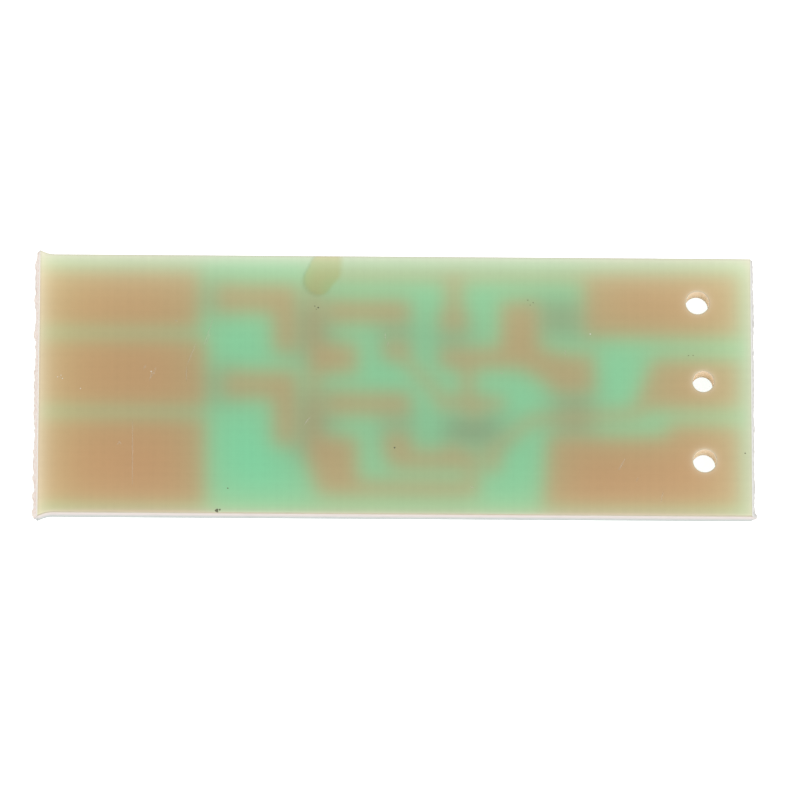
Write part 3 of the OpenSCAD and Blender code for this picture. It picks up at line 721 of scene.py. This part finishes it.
scratch_lines = [
    (-8.57, 3.12, -9.0, 1.79), (-8.69, 2.44, -8.87, 1.91), (-9.35, 1.95, -9.78, 0.87),
    (-9.78, 0.8, -9.8, 0.08), (-11.22, 0.76, -11.45, 0.27), (-11.4, 0.61, -11.53, 0.07),
    (-11.36, 0.49, -11.26, 0.47), (-12.95, -2.76, -12.81, -2.95),
    (-12.86, -2.81, -13.02, -2.98), (-15.74, 0.32, -15.62, 0.18),
    (-11.68, 0.9, -11.82, 0.66), (-3.95, -1.53, -4.28, -1.97), (-4.07, -1.65, -4.19, -1.89),
    (-0.48, 2.49, -0.48, 2.18), (-0.34, 2.06, -0.37, 1.86), (-10.37, 3.07, -10.23, 2.99),
    (10.79, -3.46, 10.5, -3.94), (10.67, -3.72, 10.43, -4.06), (12.54, -5.03, 12.43, -5.6),
    (11.37, -4.4, 11.28, -4.59), (7.95, 1.72, 8.0, 1.53), (3.5, -4.88, 3.69, -4.93),
    (4.9, 0.61, 5.04, 0.56), (-12.3, -1.7, -12.28, -5.0),
]
worn = Finish("scratch_white", 0.5, Alpha=0.18)
worn.colour(worn.mix(worn.noise(0.1), shade_of(232, 226, 200), shade_of(255, 250, 236)))
surface("face_scratches", ridges(scratch_lines, 0.075), [worn.material])

# %% Specks and dust
def domes(spots):
    """One flat dome a spot (x, y, radius): three rings, each smaller and higher than the
    one before it, where radius(a) = radius (1 + 0.2 sin(3 a + 7 x))."""
    x, y, radius = np.array(spots, float).T[..., None]
    turn = np.linspace(0, 2 * np.pi, 12, endpoint=False)
    wobble = 1 + 0.2 * np.sin(3 * turn + x * 7)
    return tubes(np.stack([np.stack([x + k * radius * wobble * np.cos(turn),
                                     y + k * radius * wobble * np.sin(turn),
                                     np.full(wobble.shape, FACE - sunk)], -1)
                           for k, sunk in [(1.0, 0.005), (0.75, 0.002), (0.4, 0.001)]], 1))


speck_spots = [
    (-3.63, 3.7, 0.042), (-3.79, 3.77, 0.03), (-3.72, 3.62, 0.025), (-0.03, -3.03, 0.045),
    (-8.33, -6.1, 0.09), (-8.19, -6.06, 0.05), (-7.82, -5.03, 0.035), (13.76, 1.5, 0.028),
    (13.98, 1.51, 0.026), (6.22, 4.13, 0.03), (6.47, 4.01, 0.028), (6.33, 3.89, 0.025),
    (16.39, -3.19, 0.035),
]
dust_spots = [(9.15, 2.51, 0.028), (-11.45, 0.56, 0.03), (-15.83, 0.27, 0.02),
              (-15.67, 0.35, 0.02), (-15.6, 0.2, 0.022), (-14.75, -0.28, 0.022)]
burnt_speck = plain_finish("burnt_speck", (84, 90, 68), (116, 118, 90), 0.05, 0.6)
surface("face_specks", domes(speck_spots), [burnt_speck])
dust_fleck = plain_finish("dust_fleck", (226, 226, 220), (246, 246, 242), 0.03, 0.7)
surface("dust_flecks", domes(dust_spots), [dust_fleck])

# %% [markdown]
# ## Green lacquer
#
# The underside wears a coat of green lacquer, with windows over the solder lands. The coat
# follows the foil, so every track stands out as a low ridge, and it looks lighter over
# copper. The solid's flat plate can't show that, so a fine net takes its place.

# %% The lacquer as a net with windows
WINDOW = 0.04
LACQUER_STEP = 0.14
RING_PATCH = 1.25


def window_lines(low, high, stops):
    """Grid lines from low to high that pass through every stop, at most LACQUER_STEP
    apart."""
    stops = np.unique(np.clip(np.round(np.concatenate([[low, high], stops]), 3), low, high))
    pieces = [np.linspace(a, b, int(np.ceil((b - a) / LACQUER_STEP)) + 1)[:-1]
              for a, b in zip(stops[:-1], stops[1:])]
    return np.concatenate(pieces + [[high]])


def inside_box(x, y, low, high):
    return (x > low[0]) & (x < high[0]) & (y > low[1]) & (y < high[1])


tin_solids = solids_of("tinned_lands")
led_lands = [s for s in tin_solids if s[0][0] < -10]
ring_out = [next((high[0] - low[0]) / 2 for low, high in tin_solids if inside_box(*c, low, high))
            for c, r in wire_holes]
chip_pads = solids_of("chip_solder")
lead_pads = solids_of("transistor_solder")
windows = [(low[:2] - WINDOW, high[:2] + WINDOW)
           for low, high in led_lands + chip_pads + lead_pads]
lacquer_low, lacquer_high = box_of("solder_mask")
xs, ys = (window_lines(lacquer_low[i], lacquer_high[i], [w[k][i] for w in windows for k in (0, 1)])
          for i in (0, 1))
mid_x, mid_y = (xs[:-1] + xs[1:])[:, None] / 2, (ys[:-1] + ys[1:])[None, :] / 2
keep = ~np.any([inside_box(mid_x, mid_y, *w) for w in windows], axis=0)
ring_windows = [(c, outer + WINDOW) for (c, r), outer in zip(wire_holes, ring_out)]
net, quads = net_with_holes(xs, ys, keep, ring_windows, RING_PATCH)
on_copper = np.minimum(1.6 * look_up(blurred(copper_map, 0.07), net[:, 0], net[:, 1]), 1)
lacquer_top = UNDER + 0.001 + (FOIL - UNDER) * on_copper
lacquer_floor = UNDER - 0.03 + (lacquer_low[2] + 0.033 - UNDER) * on_copper
points, *faces = closed_plate(net, quads, lacquer_top, lacquer_floor)
lacquer = Finish("green_lacquer", 0.24, Coat_Weight=0.4, Coat_Roughness=0.12)
tint = lacquer.mix(lacquer.attribute("copper_above"), shade_of(30, 112, 72),
                   shade_of(58, 150, 88))
tint = lacquer.mix(lacquer.times(lacquer.noise(1.1), 0.35), tint, shade_of(40, 128, 74))
lacquer.colour(tint)
lacquer.bump(lacquer.noise(0.35, detail=2), 0.25, 0.01)
copper_above = look_up(blurred(copper_map, 0.09), points[:, 0], points[:, 1])
surface("green_lacquer", [points, np.concatenate(faces)], [lacquer.material],
        ["solder_mask"], attributes={"copper_above": copper_above})

# %% [markdown]
# ## Tin and solder
#
# Molten tin draws itself into low domes, and solder climbs the metal that it wets: steeply
# at the part and flat at the rim of its land. The height of each pad is one function over
# its land, on a small grid that closes against the foil.

# %% Pads of metal as height fields
THIN = 0.004


def cushion(low, high, cells, roof, floor_of):
    """A closed solid over a box, from z = floor_of(x, y, u, v) up to z = roof. u and v run
    from -1 to 1 across the box, as sines, so that the net is finer near its rims."""
    u = np.sin(np.linspace(-np.pi / 2, np.pi / 2, cells + 1))
    u, v = np.meshgrid(u, u, indexing="ij")
    x = (low[0] + high[0]) / 2 + u * (high[0] - low[0]) / 2
    y = (low[1] + high[1]) / 2 + v * (high[1] - low[1]) / 2
    flat = np.stack([x, y], -1).reshape(-1, 2)
    quads = net_quads(np.arange(u.size).reshape(u.shape))
    points, *faces = closed_plate(flat, quads, np.full(len(flat), roof),
                                  floor_of(x, y, u, v).ravel())
    return points, np.concatenate(faces)


def metal_pads(boxes, height, cells):
    """Cushions of metal under the foil: pad k hangs down by height(x, y, u, v, k)."""
    return [cushion(low, high, cells, FOIL + 0.002,
                    lambda x, y, u, v: FOIL - np.maximum(height(x, y, u, v, k), THIN))
            for k, (low, high) in enumerate(boxes)]


def edge_fall(u, v, power):
    """1 in the middle of a pad and 0 at its rim, rounded like the edge of a drop:
    sqrt((1 - |u|^power) (1 - |v|^power))."""
    return np.sqrt(np.clip((1 - np.abs(u) ** power) * (1 - np.abs(v) ** power), 0, 1))


def tin_height(x, y, u, v, k):
    """A low dome, with a slow ripple where the tin ran."""
    dome = 0.012 + 0.008 * (1 - u ** 2) * (1 - v ** 2)
    return (dome + 0.002 * np.sin(3 * x + 2 * y)) * edge_fall(u, v, 12)


def tin_ring(centre, r, outer):
    """A flat ring of tin round a hole: its depth is 0.018 sin(a)^0.6, with a from 0 to pi
    across the ring."""
    angle = np.linspace(0, np.pi, 9)
    turn = np.linspace(0, 2 * np.pi, 72, endpoint=False)[:, None]
    across = np.append((r + outer) / 2 - (outer - r) / 2 * np.cos(angle), [outer, r])
    down = np.append(FOIL - 0.018 * np.sin(angle) ** 0.6, [FOIL + 0.001] * 2)
    points = np.stack([centre[0] + np.cos(turn) * across, centre[1] + np.sin(turn) * across,
                       np.tile(down, (72, 1))], -1)
    index = numbered(points)
    return points.reshape(-1, 3), tube_quads(np.vstack([index, index[:1]]))[:, FLIP]


rings = [tin_ring(c, r, outer) for (c, r), outer in zip(wire_holes, ring_out)]
bright_tin = plain_finish("bright_tin", (188, 190, 188), (222, 222, 218), 0.5, 0.3, Metallic=0.9)
surface("tin_on_lands", joined(metal_pads(led_lands, tin_height, 24) + rings), [bright_tin],
        ["tinned_lands"])

# %% Solder at the chips
chip_names = sorted(n[:-5] for n in frame["nodes"] if n.endswith("_core"))
caps = [(cap, box_of(name + "_core")) for name in chip_names for cap in solids_of(name + "_caps")]
CHIP_CLIMB = 0.28


def overlap(a, b):
    """Area that two boxes share, seen from above."""
    run = np.minimum(a[1], b[1]) - np.maximum(a[0], b[0])
    return max(run[0], 0) * max(run[1], 0)


def chip_height(x, y, u, v, k):
    """A thin sole. From the cap's end, at share s of the way to the rim, the solder falls as
    sole + climb (1 - s)^2. Inside the cap it is left high, where it can't be seen."""
    pad = chip_pads[k]
    cap, core = max(caps, key=lambda pair: overlap(pad, pair[0]))
    away = (cap[0] + cap[1] - core[0] - core[1])[:2]
    along = int(abs(away[1]) > abs(away[0]))
    sign = np.sign(away[along])
    place = (x, y)[along]
    mouth, end = (cap[0], cap[1])[::int(sign)]
    rim = (pad[1] if sign > 0 else pad[0])[along]
    past_end, past_mouth = sign * (place - end[along]), sign * (place - mouth[along])
    s = np.clip(past_end / abs(rim - end[along]), 0, 1)
    climb = CHIP_CLIMB * (1 - s) ** 2 * np.clip(past_mouth / 0.08, 0, 1)
    cross = np.abs((v, u)[along])
    return (FOIL - cap[1][2] + climb * (1 - 0.35 * cross ** 4)) * edge_fall(u, v, 14)


bright_solder = plain_finish("bright_solder", (176, 180, 180), (214, 216, 214), 0.35, 0.24,
                             relief=0.008, Metallic=0.95)
surface("chip_solder_fillets", joined(metal_pads(chip_pads, chip_height, 18)), [bright_solder],
        ["chip_solder"])

# %% Solder at the leads
lead_solids = [s for n in sorted(frame["nodes"]) if n.endswith("_leads") for s in solids_of(n)]
LEAD_SOLE, LEAD_CLIMB, LEAD_REACH = 0.04, 0.085, 0.07


def lead_height(x, y, u, v, k):
    """At distance d from the lead's foot the height is sole + climb exp(-d / reach), and
    under the foot it is the sole alone."""
    lead = max(lead_solids, key=lambda solid: overlap(lead_pads[k], solid))
    gap = [np.maximum(np.maximum(lead[0][i] - p, p - lead[1][i]), 0) for i, p in enumerate((x, y))]
    d = np.hypot(*gap)
    climb = np.where(d > 0, LEAD_CLIMB * np.exp(-d / LEAD_REACH), 0.0)
    return (LEAD_SOLE + climb) * edge_fall(u, v, 10)


surface("lead_solder", joined(metal_pads(lead_pads, lead_height, 20)), [bright_solder],
        ["transistor_solder"])

# %% [markdown]
# ## Transistor bodies
#
# A moulded SOT-23 body is a box with drafted sides, a band at mid height where the leads
# come out, and edges rounded by the mould's wear. So it is a stack of rounded rectangles,
# which shrink with the draft, and near the two faces also with the rounding.

# %% Rounded stacks
BAND = 0.065
DRAFT, MOULD_EDGE, MOULD_CORNER = 0.06, 0.05, 0.09
QUARTER = np.linspace(0, np.pi / 2, 5)


def rounded_loop(half_x, half_y, radius):
    """Points of a rectangle with rounded corners, counter-clockwise from the right side."""
    return np.concatenate([
        np.column_stack([sx * (half_x - radius) + radius * np.cos(QUARTER + k * np.pi / 2),
                         sy * (half_y - radius) + radius * np.sin(QUARTER + k * np.pi / 2)])
        for k, (sx, sy) in enumerate([(1, 1), (-1, 1), (-1, -1), (1, -1)])])


def stack(layers):
    """A closed solid through equal loops, from the lowest up: a list of (n, 3) arrays. The
    two ends are closed towards their middles."""
    n = len(layers[0])
    points = np.concatenate(layers + [layers[0].mean(0)[None], layers[-1].mean(0)[None]])
    index = np.arange(n * len(layers)).reshape(len(layers), n)
    onward = np.roll(index, -1, axis=1)
    bottom = np.column_stack([onward[0], index[0], np.full(n, len(points) - 2)])
    top = np.column_stack([index[-1], onward[-1], np.full(n, len(points) - 1)])
    return points, tube_quads(index), np.concatenate([bottom, top])


def moulded(low, high):
    """Body between two corners: inset = DRAFT |2 t - 1| + MOULD_EDGE (1 - cos a), where t is
    the height from 0 to 1 and a runs over the rounded edge near a face."""
    centre, half = (low + high) / 2, (high - low) / 2
    drop, rounding = MOULD_EDGE * (1 - np.sin(QUARTER)), MOULD_EDGE * (1 - np.cos(QUARTER))
    z = np.concatenate([low[2] + drop[::-1], centre[2] + BAND * np.array([-1, 1]), high[2] - drop])
    rounding = np.concatenate([rounding[::-1], [0, 0], rounding])
    away = np.clip((np.abs(z - centre[2]) - BAND) / (half[2] - BAND), 0, 1)
    loops = []
    for height, inset in zip(z, rounding + DRAFT * away):
        loop = rounded_loop(half[0] - inset, half[1] - inset, MOULD_CORNER)
        loops.append(np.column_stack([loop + centre[:2], np.full(len(loop), height)]))
    return stack(loops)


black_moulding = plain_finish("black_moulding", (30, 31, 34), (52, 53, 56), 0.06, 0.48,
                              relief=0.006, fine=1, detail=2, span=(0.35, 0.7))
for name in ("driver_1", "driver_2", "switch"):
    body = surface(name + "_moulding", moulded(*box_of(name + "_body")), [black_moulding],
                   [name + "_body"])
    body.data.set_sharp_from_angle(angle=math.radians(40))

# %% [markdown]
# ## Chip ends and coats
#
# The end caps of a chip are dipped metal, so they are thick in the middle of a face and
# round at the edges. The dark coat on a resistor is printed glaze, drawn up into a low
# pillow. The cores keep the frame's solids: ceramic is snapped, so its edges are sharp.

# %% End caps
CAP_EDGE = 0.05
CAP_PROUD = 0.012


def dipped_cap(low, high, core_low, core_high):
    """A cup round the end of a core: a tube of rounded rectangles that closes over the
    end. Its edges have radius CAP_EDGE, and its mouth rolls in to the core."""
    out = (low + high - core_low - core_high)[:2]
    along = int(np.argmax(np.abs(out)))
    sign = np.sign(out[along])
    across = 1 - along
    centre, half = (low + high) / 2, (high - low) / 2
    mouth, tip = (low, high)[::int(sign)]
    places = np.concatenate([mouth[along] + sign * np.array([0, 0.015, 0.04]),
                             tip[along] - sign * CAP_EDGE * (1 - np.sin(QUARTER))])
    insets = np.concatenate([[0.028, 0.008, 0.0], CAP_EDGE * (1 - np.cos(QUARTER))])
    loops = []
    for place, inset in zip(places, insets):
        loop = rounded_loop(half[across] + CAP_PROUD - inset, half[2] - inset,
                            max(CAP_EDGE - inset, 0.012))
        row = np.full((len(loop), 3), place)
        row[:, [across, 2]] = centre[[across, 2]] + loop
        loops.append(row)
    points, *faces = stack(loops)
    return points, *(faces if (sign > 0) == (along == 0) else [f[:, ::-1] for f in faces])


dipped_tin = plain_finish("dipped_tin", (184, 187, 186), (216, 216, 212), 0.3, 0.36,
                          relief=0.012, Metallic=0.85)
for name in chip_names:
    cups = [dipped_cap(*s, *box_of(name + "_core")) for s in solids_of(name + "_caps")]
    surface(name + "_ends", joined(cups), [dipped_tin], [name + "_caps"])

# %% Coats
def pillow(low, high):
    """Glaze between two corners: its free face falls as full height sqrt((1 - |u|^6)
    (1 - |v|^6)) towards the rims, where three tenths of the height are left."""
    return cushion(low, high, 12, high[2], lambda x, y, u, v: (
        high[2] - (high[2] - low[2]) * (0.3 + 0.7 * edge_fall(u, v, 6))))


resistor_glaze = plain_finish("resistor_glaze", (22, 24, 28), (44, 46, 50), 0.25, 0.3,
                              relief=0.006, strength=0.3, fine=1, detail=2, span=(0, 1))
for name in chip_names:
    if name != "capacitor":
        surface(name + "_glaze", pillow(*box_of(name + "_coat")), [resistor_glaze],
                [name + "_coat"])

# %% [markdown]
# ## Solids that stay
#
# The foil, the bent leads and the ceramic cores already have the right shape, so they only
# need a finish. The leads are tinned and a little dull, and the cores are white alumina,
# or tan for the capacitor.

# %% Finishes for the frame's own solids
copper = plain_finish("bare_copper", (186, 118, 78), (222, 158, 112), 0.4, 0.38,
                      relief=0.006, Metallic=0.9)
dull_tin = plain_finish("dull_tin", (170, 172, 172), (208, 208, 204), 0.22, 0.42, Metallic=0.85)
white_ceramic = plain_finish("white_ceramic", (222, 220, 210), (242, 240, 232), 0.12, 0.6,
                             relief=0.008)
tan_ceramic = plain_finish("tan_ceramic", (160, 124, 84), (188, 150, 106), 0.15, 0.5)
kept = {node: copper for node in foil_nodes}
kept.update({node: dull_tin for node in frame["nodes"] if node.endswith("_leads")})
kept.update({name + "_core": white_ceramic for name in chip_names})
kept["capacitor_core"] = tan_ceramic
for node, material in kept.items():
    materials = frame["nodes"][node].data.materials
    for i in range(len(materials)):
        materials[i] = material
    if not len(materials):
        materials.append(material)
print(f"{len(kept)} solids of the frame have their finish")

# %% [markdown]
# ## Floor, light and camera
#
# The floor and the sky look white to the camera, and light the object evenly, so that each
# colour renders about as it is written. One broad lamp gives the edges some shape, and the
# floor takes the object's shadow.

# %% Floor
FLOOR_GLOW = 0.75
HALF_FLOOR = 0.6


def rays_that_see(tree):
    """1 for camera, mirror and glass rays, 0 for the rays that carry light to a surface."""
    rays = add_node(tree, "LightPath").outputs
    total = rays["Is Camera Ray"]
    for name in ("Is Glossy Ray", "Is Transmission Ray"):
        total = add_node(tree, "Math", total, rays[name], operation="ADD",
                         use_clamp=True).outputs[0]
    return total


stage_floor = bpy.data.materials.new("white_floor")
stage_floor.use_nodes = True
tree = stage_floor.node_tree
tree.nodes.remove(tree.nodes["Principled BSDF"])
paper = add_node(tree, "BsdfDiffuse", Color=(0.9, 0.9, 0.9, 1))
less = add_node(tree, "Math", rays_that_see(tree), FLOOR_GLOW, operation="MULTIPLY")
glow = add_node(tree, "Emission", Strength=less.outputs[0])
both = add_node(tree, "AddShader", paper.outputs[0], glow.outputs[0])
from_below = add_node(tree, "MixShader", add_node(tree, "NewGeometry").outputs["Backfacing"],
                      both.outputs[0], add_node(tree, "BsdfTransparent").outputs[0])
tree.links.new(from_below.outputs[0], tree.nodes["Material Output"].inputs["Surface"])
plane = bpy.data.meshes.new("floor")
corners = [(x * HALF_FLOOR, y * HALF_FLOOR, 0) for x, y in [(-1, -1), (1, -1), (1, 1), (-1, 1)]]
plane.from_pydata(corners, [], [(0, 1, 2, 3)])
plane.materials.append(stage_floor)
floor = bpy.data.objects.new("floor", plane)
bpy.context.scene.collection.objects.link(floor)
print("floor: white, with the object's shadow, and clear from below")

# %% Light
scene = bpy.context.scene
scene.view_settings.view_transform = "Standard"
sky = bpy.data.worlds.new("white_room")
scene.world = sky
sky.use_nodes = True
tree = sky.node_tree
backdrop = tree.nodes["Background"]
backdrop.inputs["Color"].default_value = (1, 1, 1, 1)
backdrop.inputs["Strength"].default_value = 1
room = add_node(tree, "Background", Color=(1, 1, 1, 1), Strength=0.72)
choose = add_node(tree, "MixShader", rays_that_see(tree), room.outputs[0], backdrop.outputs[0])
tree.links.new(choose.outputs[0], tree.nodes["World Output"].inputs["Surface"])
lamp = bpy.data.lights.new("broad_lamp", "SUN")
lamp.energy = 0.95
lamp.angle = math.radians(35)
lamp_object = bpy.data.objects.new("broad_lamp", lamp)
lamp_object.rotation_euler = (math.radians(28), math.radians(18), 0)
scene.collection.objects.link(lamp_object)
print("lamp and white room ready")

# %% Camera
TILT, YAW, ROLL = 0.2347, -0.01992, 0.00193
DISTANCE = 400.0
FOCAL = 8536.2  # in pixels of a picture PICTURE wide
PICTURE, SENSOR = 800, 36
AIM = np.array([0.2183, -0.7382, FACE])
back = np.array([math.sin(YAW), -math.sin(TILT), math.cos(TILT)])
back /= np.linalg.norm(back)
right = np.cross([0, 1, 0], back)
right /= np.linalg.norm(right)
up = np.cross(back, right)
right, up = (math.cos(ROLL) * right + math.sin(ROLL) * up,
             math.cos(ROLL) * up - math.sin(ROLL) * right)
eye = bpy.data.cameras.new("camera")
eye.sensor_width = SENSOR
eye.lens = FOCAL / PICTURE * SENSOR
eye.clip_start, eye.clip_end = 0.01, 10
camera = bpy.data.objects.new("camera", eye)
place = np.eye(4)
place[:3, :4] = np.column_stack([right, up, back, (AIM + DISTANCE * back) * MM])
camera.matrix_world = Matrix(place.tolist())
scene.collection.objects.link(camera)
scene.camera = camera
print(f"camera {DISTANCE:.0f} mm away, lens {eye.lens:.0f} mm")
